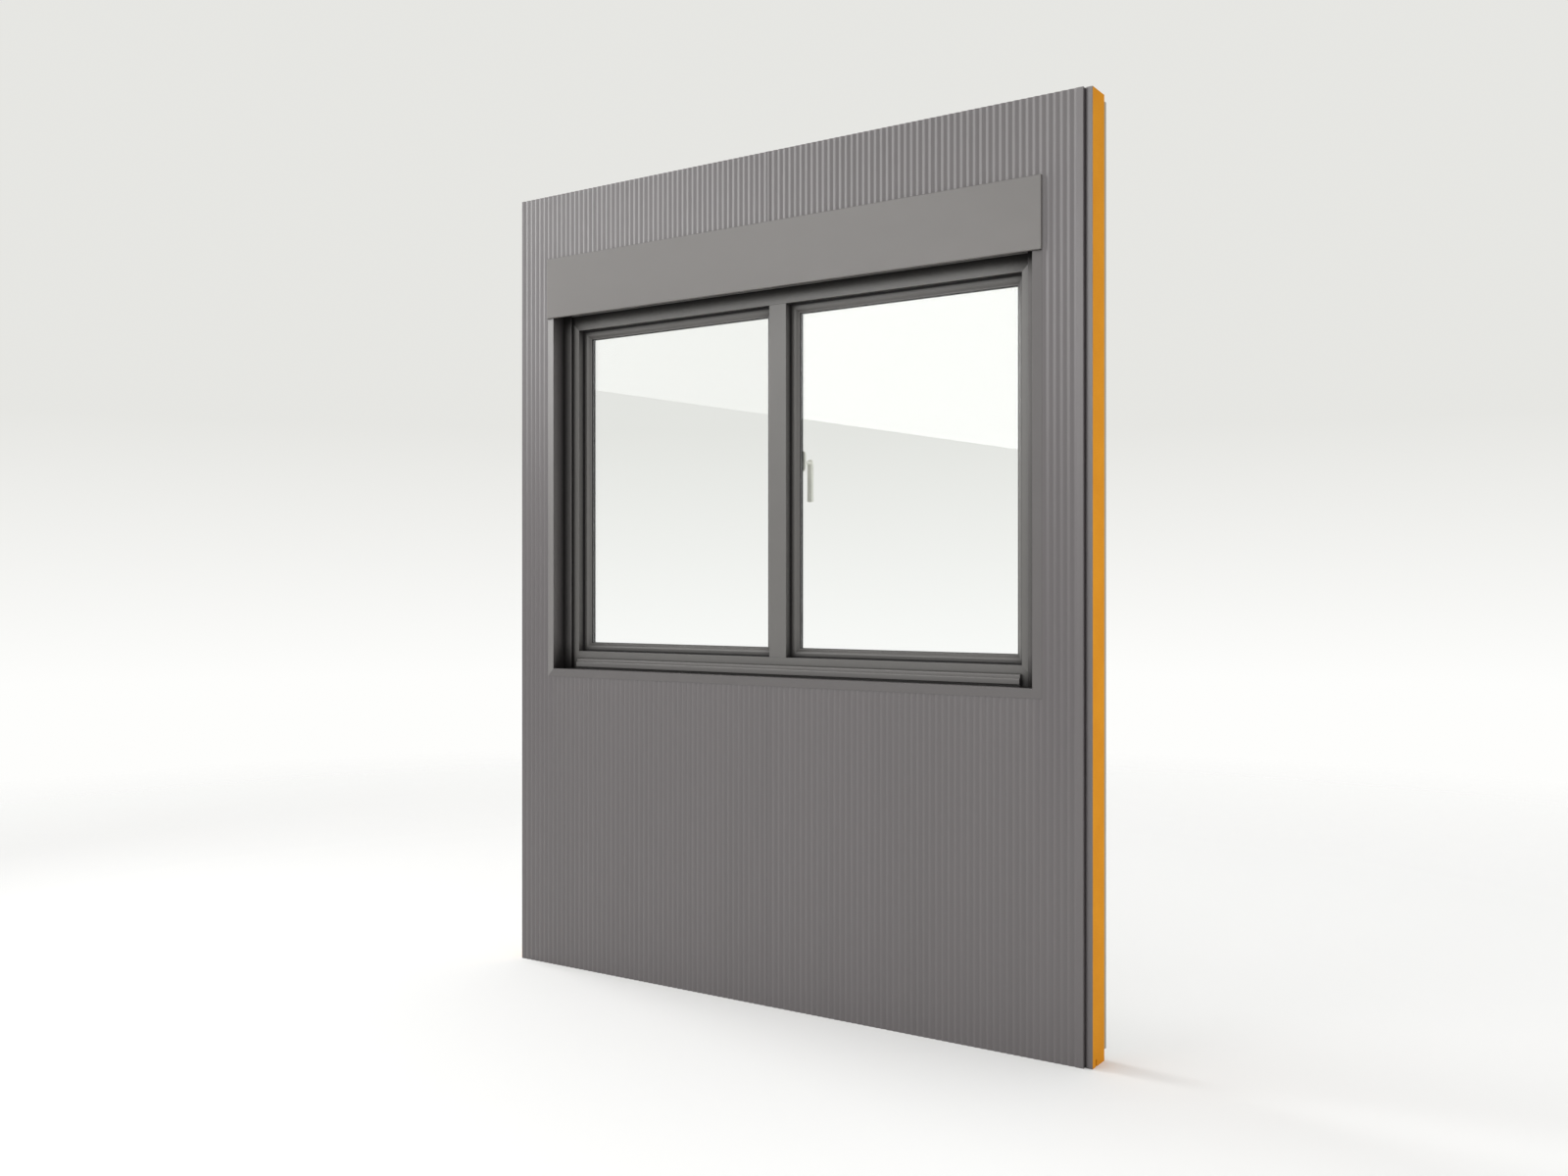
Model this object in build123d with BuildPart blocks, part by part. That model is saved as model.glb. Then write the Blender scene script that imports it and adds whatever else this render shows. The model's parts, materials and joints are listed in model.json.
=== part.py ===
# Insulated wall element of two ribbed panels, with a two-light sliding window and a roller shutter over it.
# X runs along the wall, Y runs from the weather side into the room, Z is up from the floor.
# The origin is on the floor, at the joint between the panels and half way through the wall. Millimetres.
import os

from build123d import *

os.makedirs("parts", exist_ok=True)

# Wall element
wall_height = 2550.0
panel_module = 1000.0
core_depth = 92.0
lining_thickness = 13.0
lining_top_inset = 17.0
lining_bottom_inset = 30.0
kerf_width = 8.0
kerf_height = 18.0
kerf_setback = 32.0

# Ribbed outer sheet and the tongue joint at the edges of a panel
sheet_thickness = 0.6
rib_pitch = 19.4
rib_depth = 2.5
rib_crest = 2.5
rib_valley = 2.0
first_rib = 26.5
edge_bend = 1.0
joint_gap = 5.0
closed_gap = 0.6
joint_groove = 14.0
tongue_setback = 10.0
tongue_length = 17.0
joint_clearance = 0.5

# Wall left beside, under and over the window, and the metal casing on the weather side
pier_width = 144.0
breast_height = 979.5
head_height = 210.0
casing_flange = 27.0
casing_thickness = 4.0
casing_edge = 0.4
casing_return = 2.0
reveal_depth = 58.0

# Outer frame and mullion
frame_face = 59.0
frame_depth = 54.0
frame_lip = 20.0
frame_chamfer = 1.5
mullion_face = 61.0

# Sashes and glazing
sash_setback = 6.0
sash_thickness = 34.0
sash_overlap = 18.0
sash_gap = 2.5
sash_flange = 8.0
sash_sight = 27.5
sash_flat = 16.0
sash_bevel = 8.0
gasket_width = 4.0
glass_seat = 11.5
glass_clearance = 1.0
glass_inset = 12.0
pane_thickness = 4.0
pane_space = 6.0
bead_slope = 7.0

# Roller shutter
cover_height = 198.0
cover_drop = 38.0
cover_proud = 7.5
cover_sheet = 2.0
cover_bevel = 1.5
cover_lap = 20.0
box_wall = 8.0
box_depth = 190.0
rail_width = 34.5
rail_depth = 12.0
rail_wall = 2.5
slot_depth = 22.0
slat_clearance = 0.5
slat_insertion = 15.0
end_slat_height = 20.0
end_slat_tuck = 9.0
roll_radius = 55.0
axle_radius = 10.0

# Sill under the lights
sill_height = 33.0
sill_projection = 14.0
sill_bead = 5.0
sill_undercut = 6.0
sill_end_gap = 1.5

# Room side: casing, running rail, guide rail and handle
trim_flange = 25.0
trim_return = 12.0
trim_thickness = 2.0
track_height = 25.0
track_depth = 18.0
track_groove = 8.0
track_margin = 4.0
handle_rise = 70.0
handle_length = 131.0
handle_width = 18.0
handle_thickness = 13.0
handle_offset = 16.0
rose_width = 30.0
rose_height = 66.0
rose_depth = 9.0
neck_radius = 8.0
neck_length = 38.0

# Depths from the weather side to the room side
wall_depth = core_depth + lining_thickness
front = -wall_depth / 2
core_back = front + core_depth
room_face = front + wall_depth
frame_front = front + reveal_depth
lip_back = frame_front + frame_lip
frame_back = frame_front + frame_depth
sash_front = lip_back + sash_setback
sash_back = sash_front + sash_thickness
glass_front = sash_front + glass_inset
glass_back = glass_front + 2 * pane_thickness + pane_space
box_back = front + box_depth

# Edges of the opening cut through the wall, and of the lights in it
opening_half = panel_module - pier_width
opening_bottom = breast_height
cover_top = wall_height - head_height
cover_bottom = cover_top - cover_height
opening_top = cover_top - cover_lap
light_half = opening_half - frame_face
light_bottom = opening_bottom + frame_face
light_top = cover_bottom - cover_drop
frame_top = light_top + frame_face
reveal_half = opening_half - casing_return
reveal_bottom = opening_bottom + casing_return
cover_half = reveal_half + casing_flange

left_edge = -panel_module
right_edge = panel_module
# Where each panel's sheet begins and how wide its joint is: closed in the middle, open at the right edge
left_panel = (left_edge, closed_gap)
right_panel = (0.0, joint_gap)
rebate = tongue_length + joint_clearance
hook_depth = tongue_setback - joint_clearance
rebate_core = frame_face - sash_overlap - sash_gap

UP = Vector(0, 0, 1)
DOWN = Vector(0, 0, -1)
EAST = Vector(1, 0, 0)
WEST = Vector(-1, 0, 0)


def save(piece, name):
    piece.part.label = name
    export_step(piece.part, f"parts/{name}.step")


def sheet_line(panel, inner):
    # Weather-side line of one panel's sheet from its left bend to the tip of its tongue,
    # or the inner line of the same sheet, one sheet thickness further in.
    start, gap = panel
    skin = sheet_thickness if inner else 0.0
    end = start + panel_module
    valley = front + rib_depth
    flank = (rib_pitch - rib_crest - rib_valley) / 2
    room = panel_module - gap - 2 * sheet_thickness - first_rib + rib_crest / 2
    rib_count = 1 + int(room / rib_pitch)
    line = [
        (start + skin, front + hook_depth),
        (start + skin, front + edge_bend),
        (start + edge_bend, front + skin),
    ]
    foot = start + first_rib - rib_crest / 2 - flank
    line.append((foot - rib_valley - flank, front + skin))
    line.append((foot - rib_valley, valley + skin))
    for rib in range(rib_count):
        rise = foot + rib * rib_pitch
        line.append((rise, valley + skin))
        line.append((rise + flank, front + skin))
        if rib < rib_count - 1:
            line.append((rise + flank + rib_crest, front + skin))
            line.append((rise + 2 * flank + rib_crest, valley + skin))
    line.append((end - gap - skin, front + skin))
    line.append((end - gap - skin, front + joint_groove + skin))
    line.append((end + skin, front + joint_groove + skin))
    line.append((end + skin, front + tongue_setback + skin))
    line.append((end + tongue_length, front + tongue_setback + skin))
    return line


def outer_sheet(name, panel):
    with BuildPart() as sheet:
        with BuildSketch(Plane.XY):
            with BuildLine():
                Polyline(*sheet_line(panel, False), *reversed(sheet_line(panel, True)), close=True)
            make_face()
        extrude(amount=wall_height)
        with BuildSketch(Plane.XY.offset(opening_bottom)):
            Rectangle(2 * opening_half, 4 * core_depth)
        extrude(amount=opening_top - opening_bottom, mode=Mode.SUBTRACT)
    save(sheet, name)


def core_outline(panel):
    # Inner line of a panel's sheet, closed along the back of the core.
    start = panel[0]
    tongue_end = start + panel_module + tongue_length
    return [*sheet_line(panel, True), (tongue_end, core_back), (start + sheet_thickness, core_back)]


def core_slab(name, panel, west, east, bottom, top):
    # Foam behind one panel's sheet, between two upright cuts and two levels.
    with BuildPart() as slab:
        with BuildSketch(Plane.XY.offset(bottom)):
            with BuildLine():
                Polyline(*core_outline(panel), close=True)
            make_face()
            with Locations(((west + east) / 2, front)):
                Rectangle(east - west, 4 * core_depth, mode=Mode.INTERSECT)
        extrude(amount=top - bottom)
        if bottom == 0:
            with BuildSketch(Plane.XY):
                with Locations((0, front + kerf_setback + kerf_width / 2)):
                    Rectangle(4 * panel_module, kerf_width)
            extrude(amount=kerf_height, mode=Mode.SUBTRACT)
    save(slab, name)


def joint_seal(name, panel, levels):
    # Soft strip in the bend of a sheet, which the tongue of the panel before it presses on.
    with BuildPart() as strip:
        for bottom, top in levels:
            with BuildSketch(Plane.XY.offset(bottom)):
                with BuildLine():
                    Polyline(*core_outline(panel), close=True)
                make_face()
                with Locations((panel[0] + rebate / 2, front)):
                    Rectangle(rebate, 2 * hook_depth, mode=Mode.INTERSECT)
            extrude(amount=top - bottom)
    save(strip, name)


def lining_board(name, west, east, bottom, top):
    with BuildPart() as board:
        with BuildSketch(Plane.XY.offset(bottom)):
            with Locations(((west + east) / 2, core_back + lining_thickness / 2)):
                Rectangle(east - west, lining_thickness)
        extrude(amount=top - bottom)
    save(board, name)


def mitred_bar(name, corner, along, inward, length, outline, start_mitre=True, end_mitre=True):
    # Bar along one side of a rectangle. The outline's first figure runs inward from the outer
    # edge of the rectangle and its second is the depth through the wall.
    with BuildPart() as bar:
        with BuildSketch(Plane(origin=corner, x_dir=inward, z_dir=along)):
            with BuildLine():
                Polyline(*outline, close=True)
            make_face()
        extrude(amount=length)
        if start_mitre:
            split(bisect_by=Plane(origin=corner, z_dir=along - inward), keep=Keep.TOP)
        if end_mitre:
            end = corner + along * length
            split(bisect_by=Plane(origin=end, z_dir=-along - inward), keep=Keep.TOP)
    save(bar, name)


def mitred_frame(names, west, east, bottom, top, outline):
    # Four mitred bars, in the order left, head, right, bottom.
    tall = top - bottom
    wide = east - west
    mitred_bar(names[0], Vector(west, 0, bottom), UP, EAST, tall, outline)
    mitred_bar(names[1], Vector(west, 0, top), EAST, DOWN, wide, outline)
    mitred_bar(names[2], Vector(east, 0, top), DOWN, WEST, tall, outline)
    mitred_bar(names[3], Vector(east, 0, bottom), WEST, UP, wide, outline)


def slab(name, west, east, near, far, bottom, top):
    with BuildPart() as plate:
        with BuildSketch(Plane.XY.offset(bottom)):
            with Locations(((west + east) / 2, (near + far) / 2)):
                Rectangle(east - west, far - near)
        extrude(amount=top - bottom)
    save(plate, name)


# Outer sheets, foam cores and lining boards
outer_sheet("left_outer_sheet", left_panel)
outer_sheet("right_outer_sheet", right_panel)

far_west = left_edge + rebate
far_east = right_edge + tongue_length
core_slab("left_core_side", left_panel, far_west, -opening_half, 0.0, wall_height)
core_slab("left_core_head", left_panel, -opening_half, tongue_length, opening_top, wall_height)
core_slab("left_core_breast", left_panel, -opening_half, tongue_length, 0.0, opening_bottom)
core_slab("right_core_side", right_panel, opening_half, far_east, 0.0, wall_height)
core_slab("right_core_head", right_panel, rebate, opening_half, opening_top, wall_height)
core_slab("right_core_breast", right_panel, rebate, opening_half, 0.0, opening_bottom)
joint_seal("left_joint_seal", left_panel, [(0.0, wall_height)])
joint_seal("right_joint_seal", right_panel, [(0.0, opening_bottom), (opening_top, wall_height)])

lining_top = wall_height - lining_top_inset
lining_board("lining_left", far_west, -opening_half, lining_bottom_inset, lining_top)
lining_board("lining_right", opening_half, far_east, lining_bottom_inset, lining_top)
lining_board("lining_head", -opening_half, opening_half, opening_top, lining_top)
lining_board("lining_breast", -opening_half, opening_half, lining_bottom_inset, opening_bottom)

# Casing angles round the reveal on the weather side
casing_outline = [
    (0, front - casing_edge),
    (casing_flange, front - casing_thickness),
    (casing_flange, frame_front),
    (casing_flange - casing_return, frame_front),
    (casing_flange - casing_return, front),
    (0, front),
]
casing_bottom = reveal_bottom - casing_flange
casing_tall = cover_bottom - casing_bottom
mitred_bar("casing_left", Vector(-cover_half, 0, casing_bottom), UP, EAST, casing_tall,
           casing_outline, end_mitre=False)
mitred_bar("casing_right", Vector(cover_half, 0, cover_bottom), DOWN, WEST, casing_tall,
           casing_outline, start_mitre=False)
mitred_bar("casing_bottom", Vector(cover_half, 0, casing_bottom), WEST, UP, 2 * cover_half, casing_outline)

# Outer frame
frame_outline = [
    (0, frame_front),
    (frame_face - frame_chamfer, frame_front),
    (frame_face, frame_front + frame_chamfer),
    (frame_face, lip_back),
    (rebate_core, lip_back),
    (rebate_core, frame_back),
    (0, frame_back),
]
mitred_frame(["frame_left", "frame_head", "frame_right", "frame_bottom"],
             -opening_half, opening_half, opening_bottom, frame_top, frame_outline)

# Mullion: a lip flush with the frame's face and a web that reaches into the frame's rebate
mullion_half = mullion_face / 2
web_half = mullion_half - sash_overlap - sash_gap
rebate_drop = frame_face - rebate_core
with BuildPart() as mullion:
    with BuildSketch(Plane.XY.offset(light_bottom)):
        with BuildLine():
            Polyline(
                (-mullion_half + frame_chamfer, frame_front),
                (mullion_half - frame_chamfer, frame_front),
                (mullion_half, frame_front + frame_chamfer),
                (mullion_half, lip_back),
                (-mullion_half, lip_back),
                (-mullion_half, frame_front + frame_chamfer),
                close=True,
            )
        make_face()
    extrude(amount=light_top - light_bottom)
    with BuildSketch(Plane.XY.offset(light_bottom - rebate_drop)):
        with Locations((0, (lip_back + frame_back) / 2)):
            Rectangle(2 * web_half, frame_back - lip_back)
    extrude(amount=light_top - light_bottom + 2 * rebate_drop)
save(mullion, "mullion")

# Sashes: flange behind the frame, gasket on the frame's lip, stepped front and glazing groove
sash_reach = sash_flange + sash_overlap
sash_width = sash_reach + sash_sight
face_end = sash_reach + sash_flat
bevel_end = face_end + sash_bevel
gasket = sash_flange + gasket_width
sash_outline = [
    (sash_flange, sash_front),
    (gasket, sash_front),
    (gasket, lip_back),
    (gasket + gasket_width, lip_back),
    (gasket + gasket_width, sash_front),
    (face_end, sash_front),
    (bevel_end, sash_front + sash_bevel),
    (sash_width, sash_front + sash_bevel),
    (sash_width, glass_front),
    (sash_width - glass_seat, glass_front),
    (sash_width - glass_seat, glass_back),
    (sash_width, glass_back),
    (sash_width - bead_slope, sash_back),
    (0, sash_back),
    (0, frame_back),
    (sash_flange, frame_back),
]
glass_rim = sash_width - glass_seat + glass_clearance
sash_bottom = light_bottom - sash_reach
sash_top = light_top + sash_reach
lights = [
    ("fixed", -light_half, -mullion_half),
    ("sliding", mullion_half, light_half),
]
for light, west, east in lights:
    names = [f"{light}_sash_left", f"{light}_sash_head", f"{light}_sash_right", f"{light}_sash_bottom"]
    sash_west = west - sash_reach
    sash_east = east + sash_reach
    mitred_frame(names, sash_west, sash_east, sash_bottom, sash_top, sash_outline)
    pane_wide = sash_east - sash_west - 2 * glass_rim
    pane_tall = sash_top - sash_bottom - 2 * glass_rim
    with BuildPart() as glazing:
        for near in (glass_front, glass_back - pane_thickness):
            with BuildSketch(Plane.XZ.offset(-near)):
                with Locations(((west + east) / 2, (sash_bottom + sash_top) / 2)):
                    Rectangle(pane_wide, pane_tall)
            extrude(amount=-pane_thickness)
    save(glazing, f"{light}_glazing")

# Sill strip in front of the frame's bottom bar: two rounded beads and an undercut
sill_top = reveal_bottom + sill_height
sill_front = frame_front - sill_projection
sill_step = sill_front + sill_bead
sill_crown = sill_step + sill_bead
sill_nose = sill_top - 3 * sill_bead
with BuildPart() as sill:
    with BuildSketch(Plane.YZ.offset(-light_half + sill_end_gap)):
        with BuildLine():
            Polyline(
                (frame_front, sill_top),
                (frame_front, reveal_bottom),
                (sill_front + sill_undercut, reveal_bottom),
                (sill_front + sill_undercut, reveal_bottom + sill_undercut),
                (sill_front, reveal_bottom + sill_undercut),
                (sill_front, sill_nose),
            )
            RadiusArc((sill_front, sill_nose), (sill_step, sill_top - 2 * sill_bead), sill_bead)
            Line((sill_step, sill_top - 2 * sill_bead), (sill_step, sill_top - sill_bead))
            RadiusArc((sill_step, sill_top - sill_bead), (sill_crown, sill_top), sill_bead)
            Line((sill_crown, sill_top), (frame_front, sill_top))
        make_face()
    extrude(amount=2 * (light_half - sill_end_gap))
save(sill, "sill")

# Shutter guide rails: channels whose slots face each other
slot_near = frame_front - rail_depth + rail_wall
slot_far = frame_front - rail_wall
for name, side in (("guide_rail_left", -1), ("guide_rail_right", 1)):
    mouth = side * (reveal_half - rail_width)
    wall = side * reveal_half
    floor = mouth + side * slot_depth
    with BuildPart() as rail:
        with BuildSketch(Plane.XY.offset(reveal_bottom)):
            with BuildLine():
                Polyline(
                    (mouth, frame_front - rail_depth),
                    (wall, frame_front - rail_depth),
                    (wall, frame_front),
                    (mouth, frame_front),
                    (mouth, slot_far),
                    (floor, slot_far),
                    (floor, slot_near),
                    (mouth, slot_near),
                    close=True,
                )
            make_face()
        extrude(amount=frame_top - reveal_bottom)
    save(rail, name)

# Shutter cover: a folded tray on the sheet, with a bevelled rim
with BuildPart() as cover:
    with BuildSketch(Plane.XZ.offset(-front)):
        with Locations((0, (cover_bottom + cover_top) / 2)):
            Rectangle(2 * cover_half, cover_height)
    extrude(amount=cover_proud)
    rim = cover.faces().sort_by(Axis.Y)[0].edges()
    chamfer(rim, cover_bevel)
    with BuildSketch(Plane.XZ.offset(-front)):
        with Locations((0, (cover_bottom + cover_top) / 2)):
            Rectangle(2 * (cover_half - cover_sheet), cover_height - 2 * cover_sheet)
    extrude(amount=cover_proud - cover_sheet, mode=Mode.SUBTRACT)
save(cover, "shutter_cover")

# Shutter box in the head of the opening
box_floor = frame_top + box_wall
box_roof = opening_top - box_wall
box_end = opening_half - box_wall
box_inside = box_back - box_wall
slab("shutter_box_floor", -opening_half, opening_half, frame_front, box_back, frame_top, box_floor)
slab("shutter_box_back", -opening_half, opening_half, box_inside, box_back, box_floor, opening_top)
slab("shutter_box_roof", -opening_half, opening_half, front, box_inside, box_roof, opening_top)
slab("shutter_box_left_end", -opening_half, -box_end, front, box_inside, box_floor, box_roof)
slab("shutter_box_right_end", box_end, opening_half, front, box_inside, box_floor, box_roof)

# Cheeks of the reveal between the casing and the box, behind the cover
slab("reveal_cheek_left", -opening_half, -reveal_half, front, frame_front, cover_bottom, box_floor)
slab("reveal_cheek_right", reveal_half, opening_half, front, frame_front, cover_bottom, box_floor)

# Rolled-up shutter: end slat in the guide rails, slats above it and the roll on its axle
slat_half = reveal_half - rail_width + slat_insertion
slat_near = slot_near + slat_clearance
slat_far = slot_far - slat_clearance
end_slat_bottom = cover_bottom + end_slat_tuck
end_slat_top = end_slat_bottom + end_slat_height
roll_height = (box_floor + box_roof) / 2
slab("shutter_end_slat", -slat_half, slat_half, slat_near, slat_far, end_slat_bottom, end_slat_top)
slab("shutter_slats", -slat_half, slat_half, slat_near, slat_far, end_slat_top, roll_height)
with BuildPart() as roll:
    with BuildSketch(Plane.YZ.offset(-slat_half)):
        with Locations((slat_far + roll_radius, roll_height)):
            Circle(roll_radius)
    extrude(amount=2 * slat_half)
    with BuildSketch(Plane.YZ.offset(-box_end)):
        with Locations((slat_far + roll_radius, roll_height)):
            Circle(axle_radius)
    extrude(amount=2 * box_end)
save(roll, "shutter_roll")

# Room-side casing angles round the frame
trim_outline = [
    (0, room_face),
    (trim_flange, room_face),
    (trim_flange, room_face + trim_return),
    (trim_flange - trim_thickness, room_face + trim_return),
    (trim_flange - trim_thickness, room_face + trim_thickness),
    (0, room_face + trim_thickness),
]
trim_half = opening_half + trim_flange
trim_bottom = opening_bottom - trim_flange
trim_tall = frame_top - trim_bottom
mitred_bar("room_casing_left", Vector(-trim_half, 0, trim_bottom), UP, EAST, trim_tall,
           trim_outline, end_mitre=False)
mitred_bar("room_casing_right", Vector(trim_half, 0, frame_top), DOWN, WEST, trim_tall,
           trim_outline, start_mitre=False)
mitred_bar("room_casing_bottom", Vector(trim_half, 0, trim_bottom), WEST, UP, 2 * trim_half, trim_outline)

# Running rail under the sashes and guide rail over them, on the frame's room face
track_half = opening_half - track_margin
tracks = [
    ("running_rail", opening_bottom + track_margin, 1),
    ("upper_guide", frame_top - track_margin, -1),
]
for name, base, way in tracks:
    tip = base + way * track_height
    groove_floor = tip - way * track_groove
    groove_near = frame_back + track_depth / 2 - track_groove / 2
    groove_far = groove_near + track_groove
    with BuildPart() as track:
        with BuildSketch(Plane.YZ.offset(-track_half)):
            with BuildLine():
                Polyline(
                    (frame_back, base),
                    (frame_back + track_depth, base),
                    (frame_back + track_depth, tip),
                    (groove_far, tip),
                    (groove_far, groove_floor),
                    (groove_near, groove_floor),
                    (groove_near, tip),
                    (frame_back, tip),
                    close=True,
                )
            make_face()
        extrude(amount=2 * track_half)
    save(track, name)

# Handle on the sliding sash, lever down
handle_x = mullion_half + handle_offset
handle_top = (light_bottom + light_top) / 2 + handle_rise
neck_height = handle_top - handle_width / 2
with BuildPart() as rose:
    with BuildSketch(Plane.XZ.offset(-sash_back)):
        with Locations((handle_x, neck_height)):
            SlotOverall(rose_height, rose_width, rotation=90)
    extrude(amount=-rose_depth)
save(rose, "handle_rose")

grip_near = sash_back + rose_depth + neck_length
with BuildPart() as lever:
    with BuildSketch(Plane.XZ.offset(-(sash_back + rose_depth))):
        with Locations((handle_x, neck_height)):
            Circle(neck_radius)
    extrude(amount=-neck_length)
    with BuildSketch(Plane.XZ.offset(-grip_near)):
        with Locations((handle_x, handle_top - handle_length / 2)):
            SlotOverall(handle_length, handle_width, rotation=90)
    extrude(amount=-handle_thickness)
    tips = lever.faces().filter_by(Axis.Y).sort_by(Axis.Y)[-1].edges()
    fillet(tips, handle_thickness / 3)
save(lever, "handle_lever")
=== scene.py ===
import json
import math

import bpy
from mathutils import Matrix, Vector


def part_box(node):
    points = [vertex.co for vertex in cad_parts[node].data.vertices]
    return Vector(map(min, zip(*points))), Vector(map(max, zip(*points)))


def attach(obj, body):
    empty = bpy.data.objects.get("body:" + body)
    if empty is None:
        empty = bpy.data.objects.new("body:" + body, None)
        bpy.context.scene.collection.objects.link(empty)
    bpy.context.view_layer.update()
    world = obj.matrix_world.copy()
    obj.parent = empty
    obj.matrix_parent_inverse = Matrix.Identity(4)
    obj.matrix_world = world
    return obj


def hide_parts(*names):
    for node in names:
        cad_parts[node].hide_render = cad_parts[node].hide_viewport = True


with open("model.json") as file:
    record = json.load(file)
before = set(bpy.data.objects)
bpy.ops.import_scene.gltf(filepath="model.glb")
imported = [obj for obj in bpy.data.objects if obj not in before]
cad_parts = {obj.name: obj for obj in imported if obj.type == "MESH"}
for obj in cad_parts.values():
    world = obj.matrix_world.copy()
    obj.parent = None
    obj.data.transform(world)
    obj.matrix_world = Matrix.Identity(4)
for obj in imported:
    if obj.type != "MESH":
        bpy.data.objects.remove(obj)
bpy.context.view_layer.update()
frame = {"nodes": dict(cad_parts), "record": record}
nodes = frame["nodes"]
print("frame loaded,", len(nodes), "CAD nodes")

upward = Vector((0, 0, 1))
downward = Vector((0, 0, -1))
eastward = Vector((1, 0, 0))
westward = Vector((-1, 0, 0))
sideNames = ("left", "head", "right", "bottom")
samePlace = 2e-5  # points closer than this, in metres, are one place
weldGap = 2e-6  # points closer than this are welded
onLine = 1e-5  # slack when points are picked by their level
wideSlack = 1e-4  # the same where the next points are far off


# Modelling steps that the pieces share
def pick(piece, kind, test):  # selects vertices, edges or faces by their place, in edit mode
    bpy.ops.mesh.select_mode(type=kind)
    bpy.ops.mesh.select_all(action="DESELECT")
    bpy.ops.object.mode_set(mode="OBJECT")
    mesh = piece.data
    if kind == "VERT":
        for point in mesh.vertices:
            point.select = test(point.co)
    if kind == "EDGE":
        for edge in mesh.edges:
            edge.select = test(*(mesh.vertices[i].co for i in edge.vertices))
    if kind == "FACE":
        for face in mesh.polygons:
            face.select = test(face.center, face.normal)
    bpy.ops.object.mode_set(mode="EDIT")


def drawWire(name, points):  # one vertex, pulled from point to point
    bpy.ops.object.select_all(action="DESELECT")
    bpy.ops.mesh.primitive_plane_add(size=0.01)
    piece = bpy.context.object
    piece.name = name
    bpy.ops.object.mode_set(mode="EDIT")
    bpy.ops.mesh.select_mode(type="VERT")
    bpy.ops.mesh.select_all(action="SELECT")
    bpy.ops.mesh.merge(type="CENTER")
    bpy.ops.transform.translate(value=points[0])
    for here, there in zip(points, points[1:]):
        bpy.ops.mesh.extrude_vertices_move(TRANSFORM_OT_translate={"value": there - here})
    return piece


def roundCorners(piece, corners, radius, segments):  # rounds the corners of a filled outline
    pick(piece, "VERT", lambda co: any((co - corner).length < samePlace for corner in corners))
    bpy.ops.mesh.bevel(offset=radius, segments=segments, affect="VERTICES")


def drawnProfile(name, points, travel, rounding, softCorners=(), softRadius=0.0):
    # outline filled, its soft and other corners rounded, and pulled out to its length
    softSegments, segments = 6, 3
    piece = drawWire(name, points)
    bpy.ops.mesh.select_all(action="SELECT")
    bpy.ops.mesh.edge_face_add()
    if softCorners:
        roundCorners(piece, [points[i] for i in softCorners], softRadius, softSegments)
    if rounding:
        others = [point for i, point in enumerate(points) if i not in softCorners]
        roundCorners(piece, others, rounding, segments)
    bpy.ops.mesh.select_all(action="SELECT")
    bpy.ops.mesh.extrude_region_move(TRANSFORM_OT_translate={"value": travel})
    return piece


def acrossBar(name, low, high, drawn, rounding, softCorners=(), softRadius=0.0):  # section in y and z, pulled along x
    points = [Vector((low.x, y, z)) for y, z in drawn]
    return drawnProfile(name, points, eastward * (high.x - low.x), rounding, softCorners, softRadius)


def uprightBar(name, bottom, top, drawn, rounding):  # section in x and y, pulled upwards
    points = [Vector((x, y, bottom)) for x, y in drawn]
    return drawnProfile(name, points, upward * (top - bottom), rounding)


def mitredBar(name, corner, along, inward, length, outline, rounding, startCut=True, endCut=True, closed=True,
              softCorners=(), softRadius=0.0):
    points = [corner + inward * across + Vector((0, depth, 0)) for across, depth in outline]
    piece = drawnProfile(name, points, along * length, rounding, softCorners, softRadius)
    cuts = []
    if startCut:
        cuts.append((corner, inward - along))
    if endCut:
        cuts.append((corner + along * length, inward + along))
    for place, normal in cuts:
        bpy.ops.mesh.select_all(action="SELECT")
        bpy.ops.mesh.bisect(plane_co=place, plane_no=normal, use_fill=closed, clear_outer=True)
    return piece


def block(name, low, high):  # a cube pulled to a box, left in object mode
    middle = (low + high) / 2
    bpy.ops.object.select_all(action="DESELECT")
    bpy.ops.mesh.primitive_cube_add(size=1, location=middle)
    piece = bpy.context.object
    piece.name = name
    bpy.ops.object.mode_set(mode="EDIT")
    bpy.ops.transform.resize(value=high - low, center_override=middle)
    bpy.ops.object.mode_set(mode="OBJECT")
    bpy.ops.object.transform_apply(location=True, rotation=True, scale=True)
    return piece


def joined(pieces, name):
    bpy.ops.object.select_all(action="DESELECT")
    for piece in pieces:
        piece.select_set(True)
    bpy.context.view_layer.objects.active = pieces[0]
    bpy.ops.object.join()
    whole = bpy.context.object
    whole.name = name
    return whole


def thickened(piece, thickness):  # a sheet gets its thickness, inwards
    bpy.ops.object.modifier_add(type="SOLIDIFY")
    skin = piece.modifiers[-1]
    skin.thickness = thickness
    skin.offset = -1
    bpy.ops.object.modifier_apply(modifier=skin.name)


def shaped(piece, smooth=40):  # merged, faces outwards, even shading; back to object mode
    bpy.ops.mesh.select_all(action="SELECT")
    bpy.ops.mesh.remove_doubles(threshold=weldGap)
    bpy.ops.mesh.normals_make_consistent(inside=False)
    bpy.ops.object.mode_set(mode="OBJECT")
    bpy.ops.object.shade_smooth_by_angle(angle=math.radians(smooth))
    bpy.ops.object.modifier_add(type="WEIGHTED_NORMAL")
    piece.modifiers[-1].keep_sharp = True
    bpy.ops.object.modifier_apply(modifier=piece.modifiers[-1].name)
    return piece


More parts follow.
